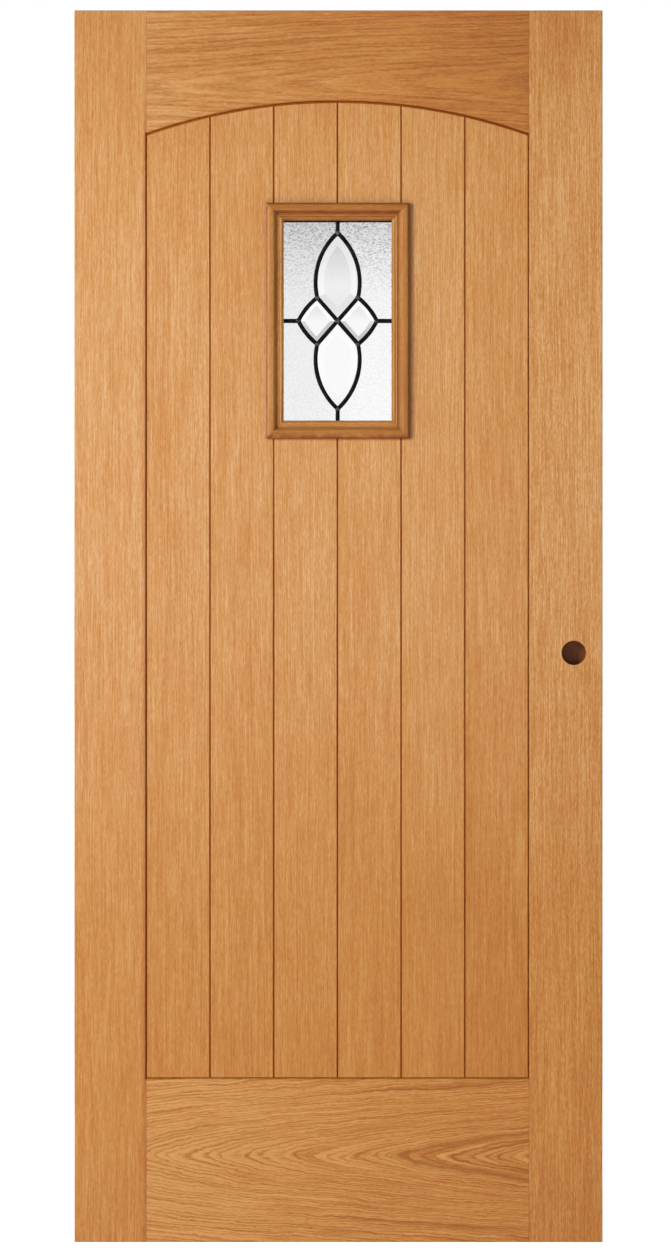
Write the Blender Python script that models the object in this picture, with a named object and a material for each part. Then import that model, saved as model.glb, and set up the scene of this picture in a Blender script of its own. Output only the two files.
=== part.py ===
"""A framed oak front door: stiles and rails round a panel of V-jointed boards, with a small leaded window.

The top rail has an arched underside. The leaf stands upright: X runs from the hinge edge to the lock edge,
the front faces -Y and Z points up. The origin is in the middle of the hinge edge. Lengths are in metres.
"""

import math

import bmesh
import bpy

# The leaf and its frame
DOOR_WIDTH = 0.915
DOOR_HEIGHT = 2.134
DOOR_THICKNESS = 0.044
HINGE_STILE_WIDTH = 0.1245
LOCK_STILE_WIDTH = 0.1275
TOP_RAIL_HEIGHT = 0.156  # at the crown of its arch
ARCH_RISE = 0.057
BOTTOM_RAIL_HEIGHT = 0.2835
ARRIS = 0.001  # the eased outer edges of the leaf
FRAME_CHAMFER = 0.0025  # round the panel, on both faces

# Stub tenons, which join the rails to the stiles out of sight
TENON_LENGTH = 0.060
TENON_THICKNESS = 0.014
TENON_SHOULDER = 0.035  # above and below each tenon

# The boards
BOARD_COUNT = 6
BOARD_THICKNESS = 0.035
PANEL_RECESS = 0.0015  # from the front of the frame to the front of the boards
JOINT_GAP = 0.0008  # between the edges of two boards, and between a board and the frame
BOARD_CHAMFER = 0.0018
ARCH_END_CHAMFER = 0.004  # along the arched ends
TONGUE_LENGTH = 0.008
TONGUE_THICKNESS = 0.009

# The lock bore, a blind hole in the front of the lock stile
BORE_DIAMETER = 0.042
BORE_DEPTH = 0.030
BORE_BACKSET = 0.050  # from the lock edge
BORE_HEIGHT = 1.021  # above the foot of the leaf

# The window and the moulding round it
WINDOW_BOARDS = 2  # the middle boards, which the window parts
SIGHT_HEIGHT = 0.347
SIGHT_DROP = 0.5375  # from the top of the leaf to the middle of the window
MOULDING_HEIGHT = 0.012  # above the boards
MOULDING_EDGE = 0.0055  # height of its outer edge
MOULDING_ROUND = 0.0045  # width of the rounding down to that edge
CROWN_WIDTH = 0.0078  # of the broad top of the moulding
CROWN_SWELL = 0.001
OGEE_WIDTH = 0.0055  # of the slope on its inner side
OGEE_SWELL = 0.0007
QUIRK_HEIGHT = 0.002  # of the sunk lines on both sides of the bead
QUIRK_WIDTH = 0.0014
BEAD_WIDTH = 0.0064
BEAD_SWELL = 0.002
SPLAY_WIDTH = 0.0042  # of the sloping edge next to the glass
SPLAY_HEIGHT = 0.0027
LEG_WIDTH = 0.0172  # of the part that fills the edge of the opening
BACK_BEAD_CHAMFER = 0.005

# The leaded light
CAME_WIDTH = 0.0065
CAME_FLANGE = 0.0016
CAME_HEART = 0.0015
CAME_DROP = 0.0083  # from the front of the boards to the front of the lead
BORDER_SHOWS = 0.0015  # how far the border lead stands inside the sight edge
GLASS_THICKNESS = 0.004  # of the panes and of the edges of the bevelled pieces
GLASS_PLAY = 0.0008  # in the channels of the lead
BEVEL_RISE = 0.002  # from the edge of a bevelled piece to its middle
TALL_BEVEL_WIDTH = 0.0115
SIDE_BEVEL_WIDTH = 0.0065
CLUSTER_HALF_WIDTH = 0.068  # from the crossing to the outer corner of a side bevel
CLUSTER_HALF_HEIGHT = 0.1525  # from the crossing to the tip of a tall bevel
SHOULDER_X = 0.0353  # where a tall bevel meets a side bevel
SHOULDER_Z = 0.0403
TALL_SWELL = 0.016  # of the curved sides of the tall bevels
SIDE_SWELL = 0.003  # of the outer sides of the side bevels

FIT_GAP = 0.0003  # between faces that touch
OVERCUT = 0.001  # how far a cutter stands past what it cuts
ARCH_SEGMENTS = 36
BOARD_SEGMENTS = 6
CURVE_SEGMENTS = 5
LEAD_SEGMENTS = 12
SHARP_ANGLE = math.radians(30)
BORE_SEGMENTS = 48
INSET_STEPS = 12  # of the search for a corner that is drawn in

# Places worked out from those sizes
FRONT_Y = -DOOR_THICKNESS / 2
BACK_Y = DOOR_THICKNESS / 2
TOP_Z = DOOR_HEIGHT / 2
FOOT_Z = -DOOR_HEIGHT / 2
PANEL_LEFT = HINGE_STILE_WIDTH
PANEL_RIGHT = DOOR_WIDTH - LOCK_STILE_WIDTH
PANEL_MIDDLE = (PANEL_LEFT + PANEL_RIGHT) / 2
PANEL_FOOT = FOOT_Z + BOTTOM_RAIL_HEIGHT
SPRING_Z = TOP_Z - TOP_RAIL_HEIGHT - ARCH_RISE
HALF_SPAN = (PANEL_RIGHT - PANEL_LEFT) / 2
ARCH_RADIUS = (HALF_SPAN**2 + ARCH_RISE**2) / (2 * ARCH_RISE)
ARCH_CENTRE_Z = TOP_Z - TOP_RAIL_HEIGHT - ARCH_RADIUS
BOARD_PITCH = (PANEL_RIGHT - PANEL_LEFT - JOINT_GAP) / BOARD_COUNT
BOARD_FRONT_Y = FRONT_Y + PANEL_RECESS
BOARD_BACK_Y = BOARD_FRONT_Y + BOARD_THICKNESS
FIRST_PARTED = (BOARD_COUNT - WINDOW_BOARDS) // 2
OPENING_WIDTH = WINDOW_BOARDS * BOARD_PITCH + JOINT_GAP
SIGHT_WIDTH = OPENING_WIDTH - 2 * LEG_WIDTH
SIGHT_X = PANEL_LEFT + FIRST_PARTED * BOARD_PITCH + OPENING_WIDTH / 2
SIGHT_Z = TOP_Z - SIGHT_DROP
TONGUE_REACH = TONGUE_LENGTH - JOINT_GAP  # how far a tongue enters its groove
GROOVE_DEPTH = TONGUE_REACH + FIT_GAP
GROOVE_THICKNESS = TONGUE_THICKNESS + 2 * FIT_GAP
CAME_THICKNESS = GLASS_THICKNESS + GLASS_PLAY + 2 * CAME_FLANGE
BORDER_HALF_WIDTH = SIGHT_WIDTH / 2 + CAME_WIDTH / 2 - BORDER_SHOWS
BORDER_HALF_HEIGHT = SIGHT_HEIGHT / 2 + CAME_WIDTH / 2 - BORDER_SHOWS
GLASS_LAP = CAME_WIDTH - BORDER_SHOWS  # how far the leaded light reaches past the sight edge
CAME_FRONT_Y = BOARD_FRONT_Y + CAME_DROP
CAME_BACK_Y = CAME_FRONT_Y + CAME_THICKNESS

OAK_FRAME = ("oak_frame", (0.62, 0.32, 0.12), 0.45, 0.0)
OAK_BOARDS = ("oak_boards", (0.66, 0.36, 0.15), 0.45, 0.0)
OAK_MOULDING = ("oak_moulding", (0.48, 0.22, 0.075), 0.42, 0.0)
LEAD = ("lead", (0.012, 0.012, 0.013), 0.42, 0.6)
PATTERNED_GLASS = ("patterned_glass", (0.86, 0.88, 0.88), 0.12, 0.0)
BEVELLED_GLASS = ("bevelled_glass", (0.93, 0.95, 0.95), 0.03, 0.0)


def material(name, colour, roughness, metallic):
    """The named material, made on first use."""
    made = bpy.data.materials.get(name)
    if made is None:
        made = bpy.data.materials.new(name)
        made.use_nodes = True
        shader = made.node_tree.nodes["Principled BSDF"]
        shader.inputs["Base Color"].default_value = (*colour, 1)
        shader.inputs["Roughness"].default_value = roughness
        shader.inputs["Metallic"].default_value = metallic
        made.diffuse_color = (*colour, 1)
    return made


def new_object(name, bm, look=None):
    """Turns a finished bmesh into a named object with one material, smooth but for its sharp edges."""
    bmesh.ops.recalc_face_normals(bm, faces=bm.faces)
    mesh = bpy.data.meshes.new(name)
    bm.to_mesh(mesh)
    bm.free()
    mesh.shade_smooth()
    mesh.set_sharp_from_angle(angle=SHARP_ANGLE)
    made = bpy.data.objects.new(name, mesh)
    bpy.context.scene.collection.objects.link(made)
    if look:
        mesh.materials.append(material(*look))
    return made


def as_cutter(made):
    """Marks an object as a tool for cutting or joining, and not as a piece."""
    made.hide_render = True
    made.display_type = "WIRE"
    return made


def combine(target, tool, operation):
    """Adds an exact Boolean to target."""
    modifier = target.modifiers.new(f"{operation.lower()} {tool.name}", "BOOLEAN")
    modifier.operation = operation
    modifier.solver = "EXACT"
    modifier.object = tool
    return target


def add_box(bm, low, high):
    """Adds a closed box between two corners."""
    made = bmesh.ops.create_cube(bm, size=1)
    for vert in made["verts"]:
        for axis in range(3):
            vert.co[axis] = low[axis] if vert.co[axis] < 0 else high[axis]


def box(name, low, high, look=None):
    bm = bmesh.new()
    add_box(bm, low, high)
    return new_object(name, bm, look)


def add_loft(bm, rings):
    """Adds a closed solid through rings of points, flat at both ends. All rings have as many points."""
    loops = [[bm.verts.new(point) for point in ring] for ring in rings]
    for first, second in zip(loops, loops[1:]):
        for k in range(len(first)):
            after = (k + 1) % len(first)
            bm.faces.new((first[k], first[after], second[after], second[k]))
    bm.faces.new(list(reversed(loops[0])))
    bm.faces.new(loops[-1])


def loft(name, rings, look=None):
    bm = bmesh.new()
    add_loft(bm, rings)
    return new_object(name, bm, look)


def at_depth(outline, y):
    """An outline in X and Z, placed at depth y."""
    return [(x, y, z) for x, z in outline]


def prism(name, outline, front, back, look=None):
    return loft(name, [at_depth(outline, front), at_depth(outline, back)], look)


def side_circle(start, end, swell):
    """Centre and radius of the circle of an arc from start to end that swells to the left by swell."""
    (ax, az), (bx, bz) = start, end
    chord = math.hypot(bx - ax, bz - az)
    radius = (chord**2 / 4 + swell**2) / (2 * abs(swell))
    back = math.copysign(radius - abs(swell), swell) / chord
    centre = ((ax + bx) / 2 + (bz - az) * back, (az + bz) / 2 - (bx - ax) * back)
    return centre, radius


def arc(start, end, swell, segments):
    """Points from start to end, both kept, on an arc that swells to the left of that way by swell."""
    (cx, cz), radius = side_circle(start, end, swell)
    begin = math.atan2(start[1] - cz, start[0] - cx)
    sweep = -2 * math.copysign(math.asin(math.dist(start, end) / (2 * radius)), swell)
    points = [start]
    for k in range(1, segments):
        angle = begin + sweep * k / segments
        points.append((cx + radius * math.cos(angle), cz + radius * math.sin(angle)))
    return points + [end]


def arch_top(x, outwards):
    """Height of the arch over x, on the circle that lies outwards of the opening."""
    radius = ARCH_RADIUS + outwards
    return ARCH_CENTRE_Z + math.sqrt(radius**2 - (x - PANEL_MIDDLE) ** 2)


def arched_end(x, outwards):
    """The end of a board under the arch, moved out along its length."""
    return arch_top(x, outwards - JOINT_GAP)


def level_end(height):
    """The end of a board at a fixed height, like arched_end."""
    return lambda x, outwards: height + outwards


def under_top(left, right, foot, top, outwards, segments):
    """An anticlockwise outline from its lower left corner: a level foot, and a top edge that follows top."""
    points = [(left, foot), (right, foot)]
    for k in range(segments + 1):
        x = right + (left - right) * k / segments
        points.append((x, top(x, outwards)))
    return points


def panel_outline(outwards):
    """The opening inside the frame, grown on every side by outwards."""
    left, right, foot = PANEL_LEFT - outwards, PANEL_RIGHT + outwards, PANEL_FOOT - outwards
    return under_top(left, right, foot, arch_top, outwards, ARCH_SEGMENTS)


def leaf_blank():
    """The whole leaf as one block with eased edges. The frame's members are parts of it."""
    bm = bmesh.new()
    add_box(bm, (0, FRONT_Y, FOOT_Z), (DOOR_WIDTH, BACK_Y, TOP_Z))
    bmesh.ops.bevel(bm, geom=bm.edges, offset=ARRIS, offset_type="OFFSET", segments=1, affect="EDGES")
    return as_cutter(new_object("leaf blank", bm))


def frame_cutters():
    """What the frame's members lose to the panel: the opening, its chamfer on both faces and the groove."""
    wide, narrow = panel_outline(FRAME_CHAMFER + OVERCUT), panel_outline(-OVERCUT)
    in_front, behind = FRONT_Y - OVERCUT, BACK_Y + OVERCUT
    depth = FRAME_CHAMFER + OVERCUT
    front = loft("front chamfer", [at_depth(wide, in_front), at_depth(narrow, FRONT_Y + depth)])
    back = loft("back chamfer", [at_depth(narrow, BACK_Y - depth), at_depth(wide, behind)])
    opening = prism("panel opening", panel_outline(0), in_front, behind)
    groove = prism("panel groove", panel_outline(GROOVE_DEPTH), -GROOVE_THICKNESS / 2, GROOVE_THICKNESS / 2)
    return {
        "opening": as_cutter(opening),
        "chamfers": [as_cutter(front), as_cutter(back)],
        "groove": as_cutter(groove),
    }


def member(name, low_x, high_x, low_z, high_z, blank):
    """A stile or a rail: its share of the leaf."""
    low = (low_x, FRONT_Y - OVERCUT, low_z)
    high = (high_x, BACK_Y + OVERCUT, high_z)
    return combine(box(name, low, high, OAK_FRAME), blank, "INTERSECT")


def tenon_heights():
    """The lowest and highest point of each rail's tenons."""
    return {
        "top": (SPRING_Z + TENON_SHOULDER, TOP_Z - TENON_SHOULDER),
        "bottom": (FOOT_Z + TENON_SHOULDER, PANEL_FOOT - TENON_SHOULDER),
    }


def tenon_tool(rail, grow):
    """Both tenons of a rail as one bar through it, or with grow the mortices that take them."""
    low_z, high_z = tenon_heights()[rail]
    half = TENON_THICKNESS / 2 + grow
    low = (PANEL_LEFT - TENON_LENGTH - grow, -half, low_z - grow)
    high = (PANEL_RIGHT + TENON_LENGTH + grow, half, high_z + grow)
    kind = "mortices" if grow else "tenons"
    return as_cutter(box(f"{rail} rail {kind}", low, high))


def frame_members():
    blank, cutters = leaf_blank(), frame_cutters()
    past_left, past_right = -OVERCUT, DOOR_WIDTH + OVERCUT
    past_foot, past_top = FOOT_Z - OVERCUT, TOP_Z + OVERCUT
    hinge_stile = member("hinge_stile", past_left, PANEL_LEFT, past_foot, past_top, blank)
    lock_stile = member("lock_stile", PANEL_RIGHT, past_right, past_foot, past_top, blank)
    for rail in ("top", "bottom"):
        mortices = tenon_tool(rail, FIT_GAP)
        combine(hinge_stile, mortices, "DIFFERENCE")
        combine(lock_stile, mortices, "DIFFERENCE")
    combine(lock_stile, bore_cutter(), "DIFFERENCE")

    rail_left, rail_right = PANEL_LEFT + FIT_GAP, PANEL_RIGHT - FIT_GAP
    bottom_rail = member("bottom_rail", rail_left, rail_right, past_foot, PANEL_FOOT, blank)
    combine(bottom_rail, tenon_tool("bottom", 0), "UNION")
    top_rail = member("top_rail", rail_left, rail_right, SPRING_Z, past_top, blank)
    combine(top_rail, tenon_tool("top", 0), "UNION")
    combine(top_rail, cutters["opening"], "DIFFERENCE")
    for made in (hinge_stile, lock_stile, bottom_rail, top_rail):
        for cutter in (*cutters["chamfers"], cutters["groove"]):
            combine(made, cutter, "DIFFERENCE")


def bore_cutter():
    """The lock bore, from in front of the lock stile to its flat bottom."""
    x, z = DOOR_WIDTH - BORE_BACKSET, FOOT_Z + BORE_HEIGHT
    circle = []
    for k in range(BORE_SEGMENTS):
        angle = 2 * math.pi * k / BORE_SEGMENTS
        circle.append((x + BORE_DIAMETER / 2 * math.cos(angle), z + BORE_DIAMETER / 2 * math.sin(angle)))
    return as_cutter(prism("lock bore", circle, FRONT_Y - OVERCUT, FRONT_Y + BORE_DEPTH))


def board_core(name, left, right, foot, top, foot_chamfer, top_chamfer):
    """A board without tongue or groove: its full outline, drawn in by the chamfers towards both faces."""
    depths = sorted({0, BOARD_CHAMFER, foot_chamfer, top_chamfer})

    def ring(depth, y):
        side = max(0, BOARD_CHAMFER - depth)
        low = foot + max(0, foot_chamfer - depth)
        down = min(0, depth - top_chamfer)
        return at_depth(under_top(left + side, right - side, low, top, down, BOARD_SEGMENTS), y)

    front = [ring(depth, BOARD_FRONT_Y + depth) for depth in depths]
    back = [ring(depth, BOARD_BACK_Y - depth) for depth in reversed(depths)]
    return loft(name, front + back, OAK_BOARDS)


def add_tongues(board, left, right, foot, top, reach_left, reach_foot, reach_top):
    """Joins the tongues to a board, as one plate that stands out on the sides that have a tongue."""
    edge = left - reach_left if reach_left else left + TONGUE_LENGTH + OVERCUT
    low = foot - reach_foot if reach_foot else foot + TONGUE_LENGTH
    outline = under_top(edge, right + TONGUE_LENGTH, low, top, reach_top, BOARD_SEGMENTS)
    plate = prism(f"{board.name} tongues", outline, -TONGUE_THICKNESS / 2, TONGUE_THICKNESS / 2)
    combine(board, as_cutter(plate), "UNION")


def add_groove(board, left):
    """Cuts the groove that takes the next board's tongue, all along the left edge."""
    low = (left - OVERCUT, -GROOVE_THICKNESS / 2, PANEL_FOOT - TONGUE_LENGTH - OVERCUT)
    high = (left + GROOVE_DEPTH, GROOVE_THICKNESS / 2, TOP_Z)
    combine(board, as_cutter(box(f"{board.name} groove", low, high)), "DIFFERENCE")


def board_edges(number):
    """Where a board's two edges are. The boards share the panel's width equally."""
    return PANEL_LEFT + number * BOARD_PITCH + JOINT_GAP, PANEL_LEFT + (number + 1) * BOARD_PITCH


def board_piece(name, number, foot, top, at_foot, at_top):
    """One board, or a length of one. at_foot and at_top say whether those ends meet the frame."""
    left, right = board_edges(number)
    foot_chamfer = BOARD_CHAMFER if at_foot else 0
    top_chamfer = ARCH_END_CHAMFER if at_top else 0
    board = board_core(name, left, right, foot, top, foot_chamfer, top_chamfer)
    reach_left = 0 if number else TONGUE_LENGTH
    reach_foot = TONGUE_LENGTH if at_foot else 0
    reach_top = TONGUE_LENGTH if at_top else -TONGUE_LENGTH
    add_tongues(board, left, right, foot, top, reach_left, reach_foot, reach_top)
    if number:
        add_groove(board, left)
    return board


def boards():
    """All the boards. The window parts the middle ones and trims the tongue beside it."""
    window_left = board_edges(FIRST_PARTED - 1)[1]
    window_right = board_edges(FIRST_PARTED + WINDOW_BOARDS)[0]
    window_foot = SIGHT_Z - SIGHT_HEIGHT / 2 - LEG_WIDTH
    window_top = SIGHT_Z + SIGHT_HEIGHT / 2 + LEG_WIDTH
    low = (window_left, BOARD_FRONT_Y - OVERCUT, window_foot)
    high = (window_right, BOARD_BACK_Y + OVERCUT, window_top)
    window = as_cutter(box("window opening", low, high))
    foot = PANEL_FOOT + JOINT_GAP
    for number in range(BOARD_COUNT):
        name = f"board_{number + 1}"
        if FIRST_PARTED <= number < FIRST_PARTED + WINDOW_BOARDS:
            board_piece(f"{name}_lower", number, foot, level_end(window_foot), True, False)
            board_piece(f"{name}_upper", number, window_top, arched_end, False, True)
        else:
            combine(board_piece(name, number, foot, arched_end, True, True), window, "DIFFERENCE")


def moulding_section():
    """Section of the front moulding: outwards from the sight edge, and up from the front of the boards."""
    seat = FIT_GAP - CAME_DROP
    rebate = GLASS_LAP + FIT_GAP
    leg_back = seat - CAME_THICKNESS
    bead_inner = SPLAY_WIDTH + QUIRK_WIDTH / 2
    bead_outer = bead_inner + BEAD_WIDTH
    ogee_foot = bead_outer + QUIRK_WIDTH
    crown_inner = ogee_foot + OGEE_WIDTH
    crown_outer = crown_inner + CROWN_WIDTH
    edge = crown_outer + MOULDING_ROUND
    crown_height = MOULDING_HEIGHT - CROWN_SWELL
    ogee_middle = ((ogee_foot + crown_inner) / 2, (QUIRK_HEIGHT + crown_height) / 2)
    section = [(0, seat), (0, 0), (SPLAY_WIDTH, SPLAY_HEIGHT)]
    section += arc((bead_inner, QUIRK_HEIGHT), (bead_outer, QUIRK_HEIGHT), BEAD_SWELL, CURVE_SEGMENTS + 1)
    section += arc((ogee_foot, QUIRK_HEIGHT), ogee_middle, -OGEE_SWELL, CURVE_SEGMENTS)
    section += arc(ogee_middle, (crown_inner, crown_height), OGEE_SWELL, CURVE_SEGMENTS)[1:-1]
    section += arc((crown_inner, crown_height), (crown_outer, crown_height), CROWN_SWELL, CURVE_SEGMENTS)
    section += arc((crown_outer, crown_height), (edge, MOULDING_EDGE), CROWN_SWELL, CURVE_SEGMENTS)[1:]
    section += [(edge, FIT_GAP), (LEG_WIDTH - FIT_GAP, FIT_GAP), (LEG_WIDTH - FIT_GAP, leg_back)]
    section += [(rebate, leg_back), (rebate, seat)]
    return section


def back_bead_section():
    """Section of a bead behind the glass, flush with the back of the boards, measured as the moulding's."""
    front = -CAME_DROP - CAME_THICKNESS - FIT_GAP
    outer = LEG_WIDTH - FIT_GAP
    back = -BOARD_THICKNESS
    return [
        (0, front),
        (outer, front),
        (outer, back),
        (BACK_BEAD_CHAMFER, back),
        (0, back + BACK_BEAD_CHAMFER),
    ]


def mitred_side(name, section, half_length, half_across, turn, look):
    """One side of the frame round the window, mitred at both ends and turned from the top to its place."""
    cosine, sine = round(math.cos(turn)), round(math.sin(turn))

    def end(sign):
        ring = []
        for outwards, height in section:
            along = sign * (half_length + outwards - FIT_GAP / 2)
            across = half_across + outwards
            x = along * cosine - across * sine
            z = along * sine + across * cosine
            ring.append((SIGHT_X + x, BOARD_FRONT_Y - height, SIGHT_Z + z))
        return ring

    return loft(name, [end(-1), end(1)], look)


def window_frame(kind, section, look):
    """Four mitred sides with one section."""
    half_width, half_height = SIGHT_WIDTH / 2, SIGHT_HEIGHT / 2
    sides = {
        "top": (half_width, half_height, 0),
        "left": (half_height, half_width, math.pi / 2),
        "bottom": (half_width, half_height, math.pi),
        "right": (half_height, half_width, -math.pi / 2),
    }
    for side, (half_length, half_across, turn) in sides.items():
        mitred_side(f"{kind}_{side}", section, half_length, half_across, turn, look)


def mirrored(cell, flip_x, flip_z):
    """A cell mirrored about the crossing of the leads, and still anticlockwise."""
    corners = [(-x if flip_x else x, -z if flip_z else z) for (x, z), _ in cell]
    swells = [swell for _, swell in cell]
    if flip_x != flip_z:
        corners.reverse()
        swells = swells[-2::-1] + swells[-1:]
    return list(zip(corners, swells))


def inwards(side, point):
    """How far a point lies inside a side, and the direction inwards from the side there."""
    (ax, az), (bx, bz), swell = side
    x, z = point
    if swell == 0:
        length = math.hypot(bx - ax, bz - az)
        normal = (-(bz - az) / length, (bx - ax) / length)
        return (x - ax) * normal[0] + (z - az) * normal[1], normal
    (cx, cz), radius = side_circle((ax, az), (bx, bz), swell)
    away = math.hypot(x - cx, z - cz)
    sign = math.copysign(1, swell)
    return sign * (away - radius), (sign * (x - cx) / away, sign * (z - cz) / away)


def inset(cell, distance):
    """A cell drawn in by distance. Straight sides stay straight, and curved sides keep their centres."""
    sides = [(corner, cell[(k + 1) % len(cell)][0], swell) for k, (corner, swell) in enumerate(cell)]
    corners = []
    for before, after in zip(sides[-1:] + sides[:-1], sides):
        x, z = after[0]
        for _ in range(INSET_STEPS):
            (near, n), (far, m) = inwards(before, (x, z)), inwards(after, (x, z))
            a, b, cross = distance - near, distance - far, n[0] * m[1] - n[1] * m[0]
            x += (a * m[1] - b * n[1]) / cross
            z += (b * n[0] - a * m[0]) / cross
        corners.append((x, z))
    moved = []
    for k, (start, end, swell) in enumerate(sides):
        if swell:
            radius = side_circle(start, end, swell)[1] + math.copysign(distance, swell)
            half_chord = math.dist(corners[k], corners[(k + 1) % len(corners)]) / 2
            swell = math.copysign(radius - math.sqrt(radius**2 - half_chord**2), swell)
        moved.append((corners[k], swell))
    return moved


def cell_outline(cell):
    """The points along a cell's sides."""
    points = []
    for k, (corner, swell) in enumerate(cell):
        end = cell[(k + 1) % len(cell)][0]
        points += arc(corner, end, swell, LEAD_SEGMENTS)[:-1] if swell else [corner]
    return points


def lead_cells():
    """The cells between the middles of the leads, about their crossing: four panes and four bevels.

    A cell is a list of corners, anticlockwise, each with the swell of the side that starts there. A side
    swells into its cell where that is positive, and out of it where it is negative.
    """
    tip, shoulder, corner = (0, CLUSTER_HALF_HEIGHT), (SHOULDER_X, SHOULDER_Z), (CLUSTER_HALF_WIDTH, 0)
    tall = [((0, 0), 0), (shoulder, -TALL_SWELL), (tip, -TALL_SWELL), ((-SHOULDER_X, SHOULDER_Z), 0)]
    side = [((0, 0), 0), ((SHOULDER_X, -SHOULDER_Z), -SIDE_SWELL), (corner, -SIDE_SWELL), (shoulder, 0)]
    corner_pane = [
        (corner, 0),
        ((BORDER_HALF_WIDTH, 0), 0),
        ((BORDER_HALF_WIDTH, BORDER_HALF_HEIGHT), 0),
        ((0, BORDER_HALF_HEIGHT), 0),
        (tip, TALL_SWELL),
        (shoulder, SIDE_SWELL),
    ]
    panes = {
        "pane_upper_right": corner_pane,
        "pane_upper_left": mirrored(corner_pane, True, False),
        "pane_lower_right": mirrored(corner_pane, False, True),
        "pane_lower_left": mirrored(corner_pane, True, True),
    }
    tall_bevels = {"bevel_upper": tall, "bevel_lower": mirrored(tall, False, True)}
    side_bevels = {"bevel_right": side, "bevel_left": mirrored(side, True, False)}
    return panes, tall_bevels, side_bevels


def in_window(cell, y):
    """A cell's outline at depth y in the leaf."""
    return [(SIGHT_X + x, y, SIGHT_Z + z) for x, z in cell_outline(cell)]


def cell_cutter(name, cells, distance, front, back):
    """Every cell drawn in by distance, as one cutter of separate prisms."""
    bm = bmesh.new()
    for cell in cells:
        smaller = inset(cell, distance)
        add_loft(bm, [in_window(smaller, front), in_window(smaller, back)])
    return as_cutter(new_object(name, bm))


def add_pane(name, cell, back):
    """A flat pane of patterned glass, up to the heart of the lead round its cell."""
    edge = inset(cell, CAME_HEART / 2 + FIT_GAP)
    loft(name, [in_window(edge, back - GLASS_THICKNESS), in_window(edge, back)], PATTERNED_GLASS)


def add_bevel(name, cell, back, width):
    """A bevelled piece: flat under the lead, then rising by its bevel to a thicker middle."""
    edge = in_window(inset(cell, CAME_HEART / 2 + FIT_GAP), back)
    rim = in_window(inset(cell, CAME_WIDTH / 2), back - GLASS_THICKNESS)
    middle = in_window(inset(cell, CAME_WIDTH / 2 + width), back - GLASS_THICKNESS - BEVEL_RISE)
    front_edge = [(x, back - GLASS_THICKNESS, z) for x, _, z in edge]
    loft(name, [middle, rim, front_edge, edge], BEVELLED_GLASS)


def leaded_light():
    """The lead, with its daylight openings and the channels for the glass, and the eight pieces of glass."""
    panes, tall_bevels, side_bevels = lead_cells()
    cells = [*panes.values(), *tall_bevels.values(), *side_bevels.values()]
    half_width, half_height = BORDER_HALF_WIDTH + CAME_WIDTH / 2, BORDER_HALF_HEIGHT + CAME_WIDTH / 2
    low = (SIGHT_X - half_width, CAME_FRONT_Y, SIGHT_Z - half_height)
    high = (SIGHT_X + half_width, CAME_BACK_Y, SIGHT_Z + half_height)
    came = box("lead_came", low, high, LEAD)
    daylight = cell_cutter("daylight", cells, CAME_WIDTH / 2, CAME_FRONT_Y - OVERCUT, CAME_BACK_Y + OVERCUT)
    channel_front, channel_back = CAME_FRONT_Y + CAME_FLANGE, CAME_BACK_Y - CAME_FLANGE
    channels = cell_cutter("glass channels", cells, CAME_HEART / 2, channel_front, channel_back)
    combine(came, daylight, "DIFFERENCE")
    combine(came, channels, "DIFFERENCE")

    back = channel_back - FIT_GAP
    for name, cell in panes.items():
        add_pane(name, cell, back)
    for name, cell in tall_bevels.items():
        add_bevel(name, cell, back, TALL_BEVEL_WIDTH)
    for name, cell in side_bevels.items():
        add_bevel(name, cell, back, SIDE_BEVEL_WIDTH)


def build():
    for old in list(bpy.data.objects):
        bpy.data.objects.remove(old)
    frame_members()
    boards()
    window_frame("moulding", moulding_section(), OAK_MOULDING)
    window_frame("bead", back_bead_section(), OAK_MOULDING)
    leaded_light()


build()
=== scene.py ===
import math

import bpy
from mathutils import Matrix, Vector, noise


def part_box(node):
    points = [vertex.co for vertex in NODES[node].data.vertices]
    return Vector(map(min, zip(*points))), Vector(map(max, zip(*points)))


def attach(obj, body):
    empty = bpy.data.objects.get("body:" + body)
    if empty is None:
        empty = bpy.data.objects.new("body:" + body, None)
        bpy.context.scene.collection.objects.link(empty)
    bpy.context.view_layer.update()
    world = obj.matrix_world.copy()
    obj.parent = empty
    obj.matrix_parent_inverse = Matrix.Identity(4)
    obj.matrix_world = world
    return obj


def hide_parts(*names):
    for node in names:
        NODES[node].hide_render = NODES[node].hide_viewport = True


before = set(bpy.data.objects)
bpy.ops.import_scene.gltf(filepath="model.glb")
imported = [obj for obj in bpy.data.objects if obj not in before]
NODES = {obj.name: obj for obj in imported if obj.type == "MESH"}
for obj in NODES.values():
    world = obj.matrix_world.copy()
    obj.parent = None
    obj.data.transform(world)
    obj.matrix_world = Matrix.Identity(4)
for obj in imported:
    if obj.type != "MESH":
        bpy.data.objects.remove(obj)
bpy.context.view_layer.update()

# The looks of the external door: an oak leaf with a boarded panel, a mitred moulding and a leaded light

# The leaf's main sizes in metres, as the model has them
LEAF_WIDTH = 0.915
LEAF_FRONT_Y = -0.022
LEAF_FOOT_Z = -1.067
FRAME_DEPTH = 0.044
BOARD_FRONT_Y = -0.0205
BOARD_DEPTH = 0.035
BOARD_V_DEPTH = 0.0013
BORE_X = 0.865
BORE_Z = -0.046
BORE_RADIUS = 0.021
BORE_DEPTH = 0.030

# Where the chamfers round the panel lie, and where painted shade lies beside the left one
CHAMFER_LEFT = 0.1217
CHAMFER_RIGHT = 0.7903
CHAMFER_FOOT = -0.9
CHAMFER_HEAD = 1.0
CHAMFER_STARTS = 0.0002
CHAMFER_FULL = 0.0016
SPREAD_WIDTH = 0.0077
SPREAD_ENDS = 0.92
SPREAD_FULL = 0.88

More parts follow.
